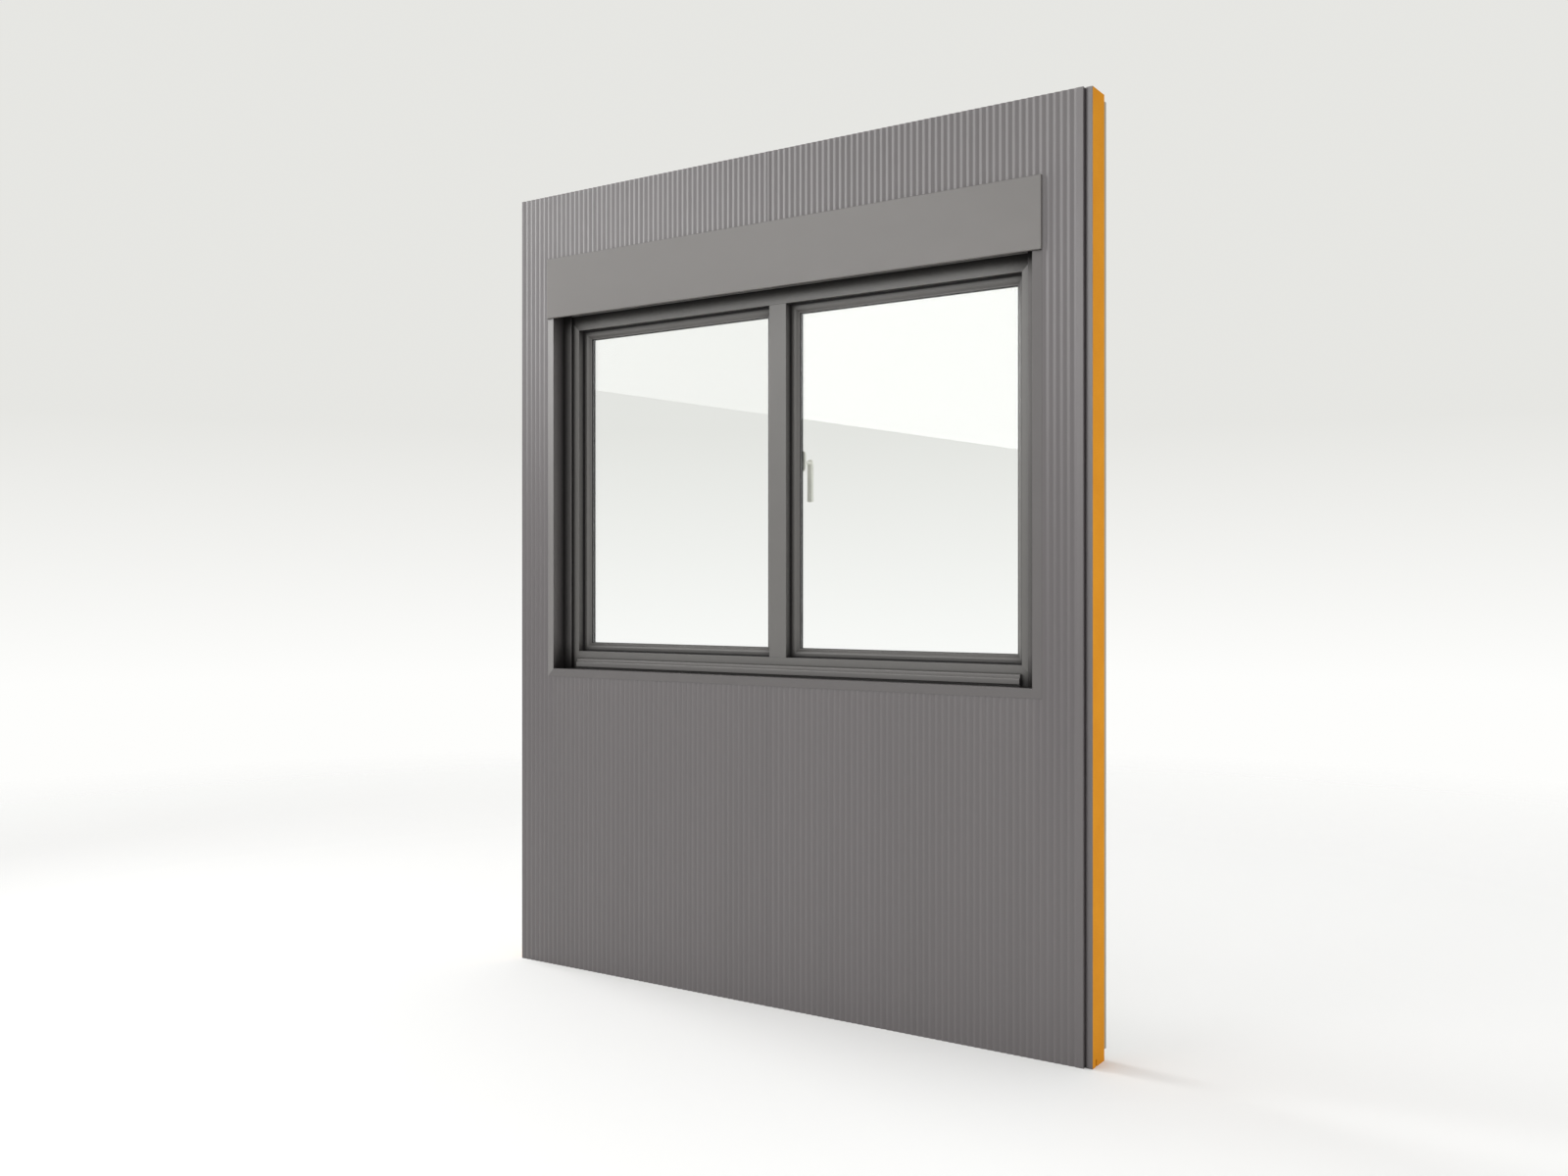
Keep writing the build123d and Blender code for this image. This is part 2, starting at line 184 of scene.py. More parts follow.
def sides(westEnd, eastEnd, bottom, top):  # left, head, right and bottom of a rectangle, each from its corner
    tall = top - bottom
    wide = eastEnd - westEnd
    return [
        (Vector((westEnd, 0, bottom)), upward, eastward, tall),
        (Vector((westEnd, 0, top)), eastward, downward, wide),
        (Vector((eastEnd, 0, top)), downward, westward, tall),
        (Vector((eastEnd, 0, bottom)), westward, upward, wide),
    ]


def mitredRing(name, ends, outline, rounding):  # four bars welded into one ring
    bars = []
    for run in sides(*ends):
        bars.append(mitredBar(name, *run, outline, rounding, closed=False))
        bpy.ops.object.mode_set(mode="OBJECT")
    ring = joined(bars, name)
    bpy.ops.object.mode_set(mode="EDIT")
    bpy.ops.mesh.select_mode(type="VERT")
    bpy.ops.mesh.select_all(action="SELECT")
    bpy.ops.mesh.remove_doubles(threshold=samePlace)
    return ring


def fit(piece, finish, slotName, *standsFor):
    piece.data.name = piece.name
    piece.data.materials.clear()
    piece.data.materials.append(finish)
    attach(piece, "root")
    if standsFor:
        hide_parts(*standsFor)


# Finishes
def newFinish(name):
    finish = bpy.data.materials.new(name)
    finish.use_nodes = True
    tree = finish.node_tree
    return finish, tree, tree.nodes["Principled BSDF"], tree.nodes.new("ShaderNodeTexCoord").outputs["Object"]


def stretched(tree, place, scale):
    mapping = tree.nodes.new("ShaderNodeMapping")
    mapping.inputs["Scale"].default_value = scale
    tree.links.new(place, mapping.inputs["Vector"])
    return mapping.outputs["Vector"]


def noiseOf(tree, place, scale, detail=3.0):
    noise = tree.nodes.new("ShaderNodeTexNoise")
    noise.inputs["Scale"].default_value = scale
    noise.inputs["Detail"].default_value = detail
    tree.links.new(place, noise.inputs["Vector"])
    return noise.outputs["Fac"]


def ranged(tree, value, fromLow, fromHigh, toLow, toHigh):
    span = tree.nodes.new("ShaderNodeMapRange")
    span.inputs["From Min"].default_value = fromLow
    span.inputs["From Max"].default_value = fromHigh
    span.inputs["To Min"].default_value = toLow
    span.inputs["To Max"].default_value = toHigh
    tree.links.new(value, span.inputs["Value"])
    return span.outputs["Result"]


def toned(tree, amount, dark, light):  # from the first tone to the second, each a colour or a socket
    mix = tree.nodes.new("ShaderNodeMix")
    mix.data_type = "RGBA"
    tree.links.new(amount, mix.inputs["Factor"])
    for socket, tone in ((mix.inputs["A"], dark), (mix.inputs["B"], light)):
        if isinstance(tone, tuple):
            socket.default_value = (*tone, 1)
        else:
            tree.links.new(tone, socket)
    return mix.outputs["Result"]


def bumped(tree, shader, height, depth, strength):
    bump = tree.nodes.new("ShaderNodeBump")
    bump.inputs["Distance"].default_value = depth
    bump.inputs["Strength"].default_value = strength
    tree.links.new(height, bump.inputs["Height"])
    tree.links.new(bump.outputs["Normal"], shader.inputs["Normal"])


def blended(tree, amount, first, second, target):  # two shaders mixed on their way to the output
    mix = tree.nodes.new("ShaderNodeMixShader")
    tree.links.new(amount, mix.inputs["Fac"])
    tree.links.new(first, mix.inputs[1])
    tree.links.new(second, mix.inputs[2])
    tree.links.new(mix.outputs["Shader"], target)


coatDefaults = {  # what most coated finishes share
    "cloudSpan": (0.35, 0.65), "edgeSpan": (0.505, 0.56), "glossSpan": (0.3, 0.7), "metal": 0.0, "shine": 0.5,
    "index": 1.5, "paintedShadeTone": (0.012, 0.011, 0.011), "paintedShadeShine": 0.04, "paintedShadeSamples": 8,
    "grainStretch": (1, 1, 1), "grainDepth": 0.0002, "grainDetail": 2.0,
}


def coatedFinish(name, own):
    # painted or foiled surface: cloudy tone, lighter convex edges (partly wear, partly painted highlight), painted
    # shade darkening corners, gaps and recesses, fine grain, uneven gloss
    spec = {**coatDefaults, **own}
    finish, tree, shader, place = newFinish(name)
    clouds = noiseOf(tree, stretched(tree, place, spec["stretch"]), spec["cloudScale"])
    tone = toned(tree, ranged(tree, clouds, *spec["cloudSpan"], 0, 1), spec["dark"], spec["light"])
    # lighter convex edges: partly wear, partly a painted edge highlight
    edge = tree.nodes.new("ShaderNodeNewGeometry").outputs["Pointiness"]
    tone = toned(tree, ranged(tree, edge, *spec["edgeSpan"], 0, spec["edgeWearAndHighlight"]), tone, spec["wornAndHighlit"])
    # painted shade: ambient occlusion pulls the colour towards a near-black tone in corners, gaps, grooves and
    # recesses
    corner = tree.nodes.new("ShaderNodeAmbientOcclusion")
    corner.samples = spec["paintedShadeSamples"]
    corner.inputs["Distance"].default_value = spec["paintedShadeReach"]
    paintedShade = ranged(tree, corner.outputs["AO"], *spec["paintedShadeSpan"], spec["paintedShade"], 0)
    tree.links.new(toned(tree, paintedShade, tone, spec["paintedShadeTone"]), shader.inputs["Base Color"])
    gloss = noiseOf(tree, stretched(tree, place, spec["stretch"]), spec["glossScale"])
    tree.links.new(ranged(tree, gloss, *spec["glossSpan"], *spec["rough"]), shader.inputs["Roughness"])
    shader.inputs["Metallic"].default_value = spec["metal"]
    shader.inputs["IOR"].default_value = spec["index"]
    # painted shade also takes the shine out where the surface is occluded
    shine = ranged(tree, paintedShade, 0, 1, spec["shine"], spec["paintedShadeShine"])
    tree.links.new(shine, shader.inputs["Specular IOR Level"])
    grain = noiseOf(tree, stretched(tree, place, spec["grainStretch"]), spec["grainScale"], spec["grainDetail"])
    bumped(tree, shader, grain, spec["grainDepth"], spec["grainStrength"])
    return finish


sheetCoat = coatedFinish("sheetCoat", {
    "dark": (0.087, 0.0765, 0.08), "light": (0.094, 0.0825, 0.0865), "wornAndHighlit": (0.13, 0.12, 0.118), "edgeWearAndHighlight": 0.35,
    "stretch": (6, 6, 0.5), "cloudScale": 1.6, "glossScale": 9, "rough": (0.35, 0.39), "shine": 0.95, "index": 1.52,
    "grainScale": 1500, "grainStrength": 0.12,
    "paintedShadeReach": 0.012, "paintedShadeSpan": (0.15, 0.5), "paintedShade": 0.95,
})
coverCoat = coatedFinish("coverCoat", {
    "dark": (0.092, 0.0835, 0.076), "light": (0.099, 0.09, 0.082), "wornAndHighlit": (0.2, 0.19, 0.185), "edgeWearAndHighlight": 0.4,
    "stretch": (1, 1, 3), "cloudScale": 2.2, "glossScale": 14, "rough": (0.37, 0.4), "shine": 0.8,
    "grainScale": 1400, "grainStrength": 0.1,
    "paintedShadeReach": 0.03, "paintedShadeSpan": (0.1, 0.6), "paintedShade": 0.8,
})
casingTones = {
    "dark": (0.09, 0.083, 0.082), "light": (0.1, 0.092, 0.091), "wornAndHighlit": (0.18, 0.17, 0.165), "edgeWearAndHighlight": 0.5,
    "stretch": (3, 3, 3), "cloudScale": 3, "glossScale": 20, "rough": (0.35, 0.38), "shine": 0.9, "index": 1.6,
    "grainScale": 1400, "grainStrength": 0.1,
    "paintedShadeReach": 0.09, "paintedShadeSpan": (0.54, 0.985), "paintedShade": 0.92,
}
casingCoat = coatedFinish("casingCoat", casingTones)
shadedDullCasing = coatedFinish("shadedDullCasing", {  # right and lower angles: darker tones painted as shade, also rougher and less shiny
    **casingTones, "dark": (0.075, 0.068, 0.068), "light": (0.083, 0.076, 0.076), "wornAndHighlit": (0.15, 0.14, 0.138),
    "rough": (0.39, 0.43), "shine": 0.7, "index": 1.5,
})
frameTones = {
    "dark": (0.094, 0.089, 0.085), "light": (0.105, 0.1, 0.095), "wornAndHighlit": (0.19, 0.185, 0.176), "edgeWearAndHighlight": 0.5,
    "stretch": (4, 4, 4), "cloudScale": 3, "glossScale": 30, "rough": (0.28, 0.33),
    "grainStretch": (1, 1, 0.4), "grainScale": 1800, "grainStrength": 0.14,
    "paintedShadeReach": 0.06, "paintedShadeSpan": (0.3, 0.92), "paintedShade": 0.9,
}
frameFoil = coatedFinish("frameFoil", frameTones)
headFoil = coatedFinish("headFoil", {  # painted shade under the cover: wider and stronger darkening than on the other bars
    **frameTones, "paintedShadeReach": 0.16, "paintedShadeSpan": (0.48, 0.8), "paintedShade": 0.95,
})
rightFoil = coatedFinish("rightFoil", {**frameTones, "paintedShadeReach": 0.025, "paintedShade": 0.6})  # less painted shade: the lit copy of the frame finish for the right bar
sillFoil = coatedFinish("sillFoil", {
    "dark": (0.086, 0.081, 0.077), "light": (0.098, 0.093, 0.088), "wornAndHighlit": (0.18, 0.17, 0.165), "edgeWearAndHighlight": 0.5,
    "stretch": (1, 4, 4), "cloudScale": 4, "glossScale": 30, "rough": (0.2, 0.26), "shine": 0.65,
    "grainStretch": (0.3, 1, 1), "grainScale": 1600, "grainStrength": 0.12,
    "paintedShadeReach": 0.03, "paintedShadeSpan": (0.25, 0.75), "paintedShade": 0.85,
})
railCoat = coatedFinish("railCoat", {
    "dark": (0.1, 0.094, 0.091), "light": (0.116, 0.109, 0.106), "wornAndHighlit": (0.26, 0.25, 0.245), "edgeWearAndHighlight": 0.6,
    "stretch": (8, 8, 0.6), "cloudScale": 4, "glossScale": 30, "rough": (0.28, 0.4), "metal": 0.35,
    "grainStretch": (1, 1, 0.02), "grainScale": 2200, "grainDepth": 0.0001, "grainStrength": 0.15,
    "paintedShadeReach": 0.09, "paintedShadeSpan": (0.55, 0.99), "paintedShade": 0.96,
})
trackMetal = coatedFinish("trackMetal", {
    "dark": (0.5, 0.5, 0.49), "light": (0.6, 0.6, 0.59), "wornAndHighlit": (0.75, 0.75, 0.74), "edgeWearAndHighlight": 0.6,
    "stretch": (0.5, 8, 8), "cloudScale": 4, "glossScale": 30, "rough": (0.3, 0.42), "metal": 1.0,
    "grainStretch": (0.01, 1, 1), "grainScale": 2600, "grainDepth": 0.0001, "grainStrength": 0.2,
    "paintedShadeReach": 0.03, "paintedShadeSpan": (0.1, 0.8), "paintedShade": 0.6,
})
boxPlastic = coatedFinish("boxPlastic", {
    "dark": (0.6, 0.6, 0.58), "light": (0.65, 0.65, 0.63), "wornAndHighlit": (0.74, 0.74, 0.72), "edgeWearAndHighlight": 0.4,
    "stretch": (1, 3, 3), "cloudScale": 3, "glossScale": 16, "rough": (0.32, 0.42),
    "grainScale": 900, "grainStrength": 0.1,
    "paintedShadeReach": 0.03, "paintedShadeSpan": (0.1, 0.8), "paintedShade": 0.5,
})
handleFinish = coatedFinish("handleFinish", {
    "dark": (0.78, 0.78, 0.7), "light": (0.84, 0.84, 0.76), "wornAndHighlit": (0.88, 0.88, 0.82), "edgeWearAndHighlight": 0.4,
    "stretch": (10, 10, 10), "cloudScale": 4, "glossScale": 60, "rough": (0.26, 0.36),
    "grainScale": 2400, "grainDepth": 0.0001, "grainStrength": 0.12,
    "paintedShadeReach": 0.01, "paintedShadeSpan": (0.1, 0.6), "paintedShade": 0.2,
})
sealRubber = coatedFinish("sealRubber", {
    "dark": (0.011, 0.01, 0.01), "light": (0.018, 0.017, 0.017), "wornAndHighlit": (0.04, 0.04, 0.04), "edgeWearAndHighlight": 0.5,
    "stretch": (10, 10, 10), "cloudScale": 6, "glossScale": 60, "rough": (0.5, 0.66), "shine": 0.35,
    "grainScale": 1800, "grainStrength": 0.25,
    "paintedShadeReach": 0.02, "paintedShadeSpan": (0.2, 0.9), "paintedShade": 0.7,
})
spacerMetal = coatedFinish("spacerMetal", {
    "dark": (0.24, 0.24, 0.24), "light": (0.32, 0.32, 0.32), "wornAndHighlit": (0.5, 0.5, 0.5), "edgeWearAndHighlight": 0.5,
    "stretch": (8, 8, 8), "cloudScale": 8, "glossScale": 80, "rough": (0.35, 0.5), "metal": 0.8,
    "grainScale": 1600, "grainStrength": 0.2,
    "paintedShadeReach": 0.01, "paintedShadeSpan": (0.1, 0.8), "paintedShade": 0.5,
})
slatCoat = coatedFinish("slatCoat", {
    "dark": (0.12, 0.113, 0.108), "light": (0.14, 0.132, 0.126), "wornAndHighlit": (0.24, 0.23, 0.22), "edgeWearAndHighlight": 0.5,
    "stretch": (0.5, 6, 30), "cloudScale": 4, "glossScale": 20, "rough": (0.34, 0.44), "metal": 0.2,
    "grainStretch": (0.02, 1, 1), "grainScale": 1800, "grainDepth": 0.0001, "grainStrength": 0.15,
    "paintedShadeReach": 0.06, "paintedShadeSpan": (0.3, 0.9), "paintedShade": 0.9,
})


def foamFinish():  # cut rigid foam: small cells, blotches of lighter and browner foam
    spec = {"deep": (0.58, 0.215, 0.007), "pale": (0.79, 0.325, 0.012), "edge": (0.72, 0.28, 0.009),
            "cells": 420, "blotch": 9, "blotchSpan": (0.3, 0.7), "poreSpan": (0.1, 0.75), "pores": 0.3,
            "roughSpan": (0, 0.8), "rough": (0.8, 0.95), "shine": 0.2, "bumpDepth": 0.0006, "bumpStrength": 0.35}
    finish, tree, shader, place = newFinish("coreFoam")
    cells = tree.nodes.new("ShaderNodeTexVoronoi")
    cells.inputs["Scale"].default_value = spec["cells"]
    tree.links.new(place, cells.inputs["Vector"])
    distance = cells.outputs["Distance"]
    patches = ranged(tree, noiseOf(tree, place, spec["blotch"]), *spec["blotchSpan"], 0, 1)
    blotch = toned(tree, patches, spec["pale"], spec["edge"])
    pores = ranged(tree, distance, *spec["poreSpan"], 0, spec["pores"])
    tree.links.new(toned(tree, pores, blotch, spec["deep"]), shader.inputs["Base Color"])
    tree.links.new(ranged(tree, distance, *spec["roughSpan"], *spec["rough"]), shader.inputs["Roughness"])
    shader.inputs["Specular IOR Level"].default_value = spec["shine"]
    bumped(tree, shader, distance, spec["bumpDepth"], spec["bumpStrength"])
    return finish


def boardFinish():  # paper-faced lining board: fibres, faint clouds, grey-brown on the faces that look neither front nor back
    spec = {"dark": (0.69, 0.68, 0.65), "light": (0.735, 0.725, 0.695), "core": (0.36, 0.33, 0.27),
            "fibre": 700, "fibreStretch": (1, 1, 0.25), "fibreDetail": 4, "clouds": 2.5, "span": (0.3, 0.7),
            "faceSpan": (0.4, 0.6), "rough": (0.62, 0.8), "shine": 0.3, "bumpDepth": 0.0003, "bumpStrength": 0.25}
    finish, tree, shader, place = newFinish("liningPaper")
    fibres = noiseOf(tree, stretched(tree, place, spec["fibreStretch"]), spec["fibre"], spec["fibreDetail"])
    clouds = ranged(tree, noiseOf(tree, place, spec["clouds"]), *spec["span"], 0, 1)
    paper = toned(tree, clouds, spec["dark"], spec["light"])
    facing = tree.nodes.new("ShaderNodeSeparateXYZ")
    tree.links.new(tree.nodes.new("ShaderNodeNewGeometry").outputs["True Normal"], facing.inputs["Vector"])
    across = tree.nodes.new("ShaderNodeMath")
    across.operation = "ABSOLUTE"
    tree.links.new(facing.outputs["Y"], across.inputs[0])
    flat = ranged(tree, across.outputs["Value"], *spec["faceSpan"], 0, 1)
    tree.links.new(toned(tree, flat, spec["core"], paper), shader.inputs["Base Color"])
    tree.links.new(ranged(tree, fibres, *spec["span"], *spec["rough"]), shader.inputs["Roughness"])
    shader.inputs["Specular IOR Level"].default_value = spec["shine"]
    bumped(tree, shader, fibres, spec["bumpDepth"], spec["bumpStrength"])
    return finish


def glassFinish():  # clear float glass with a faint film; lamps shine through it
    spec = {"tint": (0.985, 0.992, 0.988), "index": 1.32, "film": (0.0, 0.012), "filmSpan": (0.45, 0.75),
            "filmStretch": (1, 1, 0.4), "filmScale": 5}
    finish, tree, shader, place = newFinish("clearGlass")
    shader.inputs["Base Color"].default_value = (*spec["tint"], 1)
    shader.inputs["Transmission Weight"].default_value = 1.0
    shader.inputs["IOR"].default_value = spec["index"]
    film = noiseOf(tree, stretched(tree, place, spec["filmStretch"]), spec["filmScale"])
    tree.links.new(ranged(tree, film, *spec["filmSpan"], *spec["film"]), shader.inputs["Roughness"])
    through = tree.nodes.new("ShaderNodeBsdfTransparent")
    shadow = tree.nodes.new("ShaderNodeLightPath").outputs["Is Shadow Ray"]
    surface = tree.nodes["Material Output"].inputs["Surface"]
    blended(tree, shadow, shader.outputs["BSDF"], through.outputs["BSDF"], surface)
    return finish


coreFoam = foamFinish()
liningPaper = boardFinish()
clearGlass = glassFinish()
finishOfSlot = {
    "coated_sheet": sheetCoat, "foam_core": coreFoam, "seal_rubber": sealRubber, "lining_board": liningPaper,
    "casing_metal": casingCoat, "cover_metal": coverCoat, "box_plastic": boxPlastic, "slat_metal": slatCoat,
    "rail_metal": railCoat, "track_metal": trackMetal, "frame_plastic": frameFoil, "sill_plastic": sillFoil,
    "glass": clearGlass, "handle_plastic": handleFinish,
}
print("finishes made")


# Ribbed sheets: one rib drawn and repeated, margin and tongue pulled on, the window cut out
def ribbedSheets():
    spec = {"pitch": 0.0194, "depth": 0.0025, "crest": 0.0025, "valley": 0.002, "firstRib": 0.0265,
            "bend": 0.001, "hook": 0.0095, "groove": 0.014, "tongue": 0.017, "tongueBack": 0.010, "module": 1.0,
            "rounding": 0.00095, "lipRounding": 0.0008, "grooveRounding": 0.00025, "sharpMargin": 0.004,
            "thickness": 0.0006, "smooth": 40}
    panels = [  # piece, node, gap at the tongue, number of ribs
        ("leftRibbedSheet", "left_outer_sheet", 0.0006, 51),
        ("rightRibbedSheet", "right_outer_sheet", 0.005, 50),
    ]
    westEdge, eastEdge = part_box("frame_left")[0].x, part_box("frame_right")[1].x
    sillLevel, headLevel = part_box("frame_bottom")[0].z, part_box("lining_head")[0].z
    crest, pitch = spec["crest"], spec["pitch"]
    flank = (pitch - crest - spec["valley"]) / 2
    for name, node, gap, ribCount in panels:
        low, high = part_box(node)
        start, front, height = low.x, low.y, high.z
        foot = start + spec["firstRib"] - crest / 2 - flank
        valley = front + spec["depth"]
        rib = [(foot - spec["valley"], valley), (foot, valley), (foot + flank, front),
               (foot + flank + crest, front), (foot + 2 * flank + crest, valley)]
        sheet = drawWire(name, [Vector((x, y, 0)) for x, y in rib])
        bpy.ops.object.mode_set(mode="OBJECT")
        bpy.ops.object.modifier_add(type="ARRAY")
        ribs = sheet.modifiers[-1]
        ribs.count = ribCount
        ribs.use_relative_offset = False
        ribs.use_constant_offset = True
        ribs.constant_offset_displace = (pitch, 0, 0)
        ribs.use_merge_vertices = True
        ribs.merge_threshold = onLine
        bpy.ops.object.modifier_apply(modifier=ribs.name)
        bpy.ops.object.mode_set(mode="EDIT")
        end = start + spec["module"]
        edge = end - gap
        tongueBack, groove = front + spec["tongueBack"], front + spec["groove"]
        lastCrest = foot + flank + (ribCount - 1) * pitch + crest
        margin = [(foot - spec["valley"], valley), (foot - spec["valley"] - flank, front),
                  (start + spec["bend"], front), (start, front + spec["bend"]), (start, front + spec["hook"])]
        lip = [(lastCrest, front), (edge, front), (edge, groove), (end, groove), (end, tongueBack),
               (end + spec["tongue"], tongueBack)]
        pick(sheet, "VERT", lambda co: co.x > lastCrest + flank / 2)  # the last flank goes flat instead
        bpy.ops.mesh.delete(type="VERT")
        for run in (margin, lip):
            pick(sheet, "VERT", lambda co: abs(co.x - run[0][0]) < onLine)
            for (x, y), (nextX, nextY) in zip(run, run[1:]):
                step = Vector((nextX - x, nextY - y, 0))
                bpy.ops.mesh.extrude_vertices_move(TRANSFORM_OT_translate={"value": step})

        def onRib(co):
            return co.y < valley + onLine and start + spec["sharpMargin"] < co.x < lastCrest - onLine

        def onLip(co):
            return co.y < front + onLine and abs(co.x - edge) < onLine

        def inGroove(co):
            return co.y > tongueBack - wideSlack and start + spec["module"] / 2 < co.x < end + wideSlack

        softer = [  # where, radius, segments
            (onRib, spec["rounding"], 4),
            (onLip, spec["lipRounding"], 3),
            (inGroove, spec["grooveRounding"], 2),
        ]
        for test, radius, segments in softer:
            pick(sheet, "VERT", test)
            bpy.ops.mesh.bevel(offset=radius, segments=segments, affect="VERTICES")
        bpy.ops.mesh.select_all(action="SELECT")
        bpy.ops.mesh.extrude_region_move(TRANSFORM_OT_translate={"value": (0, 0, height)})
        cuts = [((0, 0, sillLevel), upward), ((0, 0, headLevel), upward),
                ((westEdge, 0, 0), eastward), ((eastEdge, 0, 0), eastward)]
        for place, normal in cuts:  # window opening
            bpy.ops.mesh.select_all(action="SELECT")
            bpy.ops.mesh.bisect(plane_co=place, plane_no=normal)
        pick(sheet, "FACE", lambda c, n: westEdge < c.x < eastEdge and sillLevel < c.z < headLevel)
        bpy.ops.mesh.delete(type="FACE")
        bpy.ops.object.mode_set(mode="OBJECT")
        facesIn = sum(face.normal.y * face.area for face in sheet.data.polygons) > 0
        bpy.ops.object.mode_set(mode="EDIT")
        bpy.ops.mesh.select_all(action="SELECT")
        if facesIn:
            bpy.ops.mesh.flip_normals()
        bpy.ops.object.mode_set(mode="OBJECT")
        thickened(sheet, spec["thickness"])
        bpy.ops.object.shade_smooth_by_angle(angle=math.radians(spec["smooth"]))
        fit(sheet, sheetCoat, "coated_sheet", node)


ribbedSheets()
print("ribbed sheets made")


# Outer frame, mullion and the two sashes
def windowFrame():
    spec = {"rebateCore": 0.0385, "face": 0.059, "lip": 0.020, "rounding": 0.0011}
    low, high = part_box("frame_left")
    front, back = low.y, high.y
    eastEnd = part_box("frame_right")[1].x
    outline = [(0, front), (spec["face"], front), (spec["face"], front + spec["lip"]),
               (spec["rebateCore"], front + spec["lip"]), (spec["rebateCore"], back), (0, back)]
    # the head bar takes the copy with more painted shade, the right bar the copy with less
    finishes = [frameFoil, headFoil, rightFoil, frameFoil]
    for side, finish, run in zip(sideNames, finishes, sides(low.x, eastEnd, low.z, high.z)):
        bar = mitredBar(f"frame{side.capitalize()}", *run, outline, spec["rounding"])
        fit(shaped(bar), finish, "frame_plastic", f"frame_{side}")


def mullionBar():
    spec = {"half": 0.0305, "lip": 0.020, "webHalf": 0.010, "frameFace": 0.059, "rounding": 0.0012,
            "webRounding": 0.0006}
    low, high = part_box("mullion")
    half, webHalf = spec["half"], spec["webHalf"]
    front, back, step = low.y, high.y, low.y + spec["lip"]
    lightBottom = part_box("frame_bottom")[0].z + spec["frameFace"]
    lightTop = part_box("frame_head")[1].z - spec["frameFace"]
    drawn = [(-half, front), (half, front), (half, step), (-half, step)]
    post = uprightBar("mullionPost", lightBottom, lightTop, drawn, spec["rounding"])
    bpy.ops.object.mode_set(mode="OBJECT")
    drawn = [(-webHalf, step), (webHalf, step), (webHalf, back), (-webHalf, back)]
    web = uprightBar("mullionWeb", low.z, high.z, drawn, spec["webRounding"])
    bpy.ops.object.mode_set(mode="OBJECT")
    post = joined((post, web), "mullionPost")
    bpy.ops.object.mode_set(mode="EDIT")
    fit(shaped(post), frameFoil, "frame_plastic", "mullion")


# One light: sash bars, seal, gaskets, spacer and panes; "front" is the sash's weather face
sashSection = {"width": 0.0535, "seat": 0.0115, "frameLip": 0.020, "sealGap": 0.006}


def sashBars(light, ends, front, back, near, far):
    spec = {"flange": 0.008, "flatEnd": 0.042, "bevelEnd": 0.050, "bevel": 0.008, "slope": 0.007,
            "rounding": 0.0009, "ridge": 0.004}
    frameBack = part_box("frame_left")[1].y
    wide, flange = sashSection["width"], spec["flange"]
    seat, step = wide - sashSection["seat"], front + spec["bevel"]
    outline = [(flange, front), (spec["flatEnd"], front), (spec["bevelEnd"], step), (wide, step), (wide, near),
               (seat, near), (seat, far), (wide, far), (wide - spec["slope"], back), (0, back), (0, frameBack),
               (flange, frameBack)]
    for side, run in zip(sideNames, sides(*ends)):
        bar = mitredBar(f"{light}Sash{side.capitalize()}", *run, outline, spec["rounding"],
                        softCorners=(1,), softRadius=spec["ridge"])
        fit(shaped(bar), frameFoil, "frame_plastic", f"{light}_sash_{side}")


def frameSeal(light, ends, lipBack, front):  # black seal between frame and sash
    spec = {"start": 0.014, "end": 0.0245, "flare": 0.001, "fin": 0.031, "finRoot": 0.002, "finTip": 0.0008,
            "gap": 0.0002, "rounding": 0.0003}
    start, end, near = spec["start"], spec["end"], lipBack + spec["gap"]
    outline = [(start, near), (end, near), (end + spec["flare"], front - spec["finRoot"]),
               (spec["fin"], front - spec["finTip"]), (spec["fin"], front), (start, front)]
    ring = mitredRing(f"{light}FrameSeal", ends, outline, spec["rounding"])
    fit(shaped(ring), sealRubber, "seal_rubber")


def gaskets(light, ends, near, far):  # glazing gaskets on both faces of the unit
    spec = {"lap": 0.001, "root": 0.0006, "taper": 0.0008, "lipHeight": 0.0022, "height": 0.0036, "rounding": 0.0005}
    root, lap = sashSection["width"] - spec["root"], sashSection["width"] + spec["lap"]
    for face, plane, out in (("Outer", near, -1), ("Inner", far, 1)):
        outline = [(root, plane), (lap, plane), (lap - spec["taper"], plane + out * spec["lipHeight"]),
                   (root, plane + out * spec["height"])]
        ring = mitredRing(f"{light}{face}Gasket", ends, outline, spec["rounding"])
        fit(shaped(ring), sealRubber, "seal_rubber")


def glazing(light, ends, near, far):  # spacer bar round the edge of the unit, and two panes with ground edges
    spec = {"pane": 0.004, "spacerSetback": 0.005, "spacer": 0.006, "spacerRounding": 0.001, "groundEdge": 0.0005}
    outer = sashSection["width"] - sashSection["seat"] + spec["spacerSetback"]
    inner = outer + spec["spacer"]
    between, backPane = near + spec["pane"], far - spec["pane"]
    outline = [(outer, between), (inner, between), (inner, backPane), (outer, backPane)]
    ring = mitredRing(f"{light}Spacer", ends, outline, spec["spacerRounding"])
    fit(shaped(ring), spacerMetal, "glass")
    low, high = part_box(f"{light}_glazing")
    panes = []
    for plane in (near, backPane):
        pane = block(f"{light}Glazing", Vector((low.x, plane, low.z)), Vector((high.x, plane + spec["pane"], high.z)))
        bpy.ops.object.mode_set(mode="EDIT")
        bpy.ops.mesh.select_all(action="SELECT")
        bpy.ops.mesh.bevel(offset=spec["groundEdge"], segments=1, affect="EDGES")
        bpy.ops.object.mode_set(mode="OBJECT")
        panes.append(pane)
    fit(joined(panes, f"{light}Glazing"), clearGlass, "glass", f"{light}_glazing")


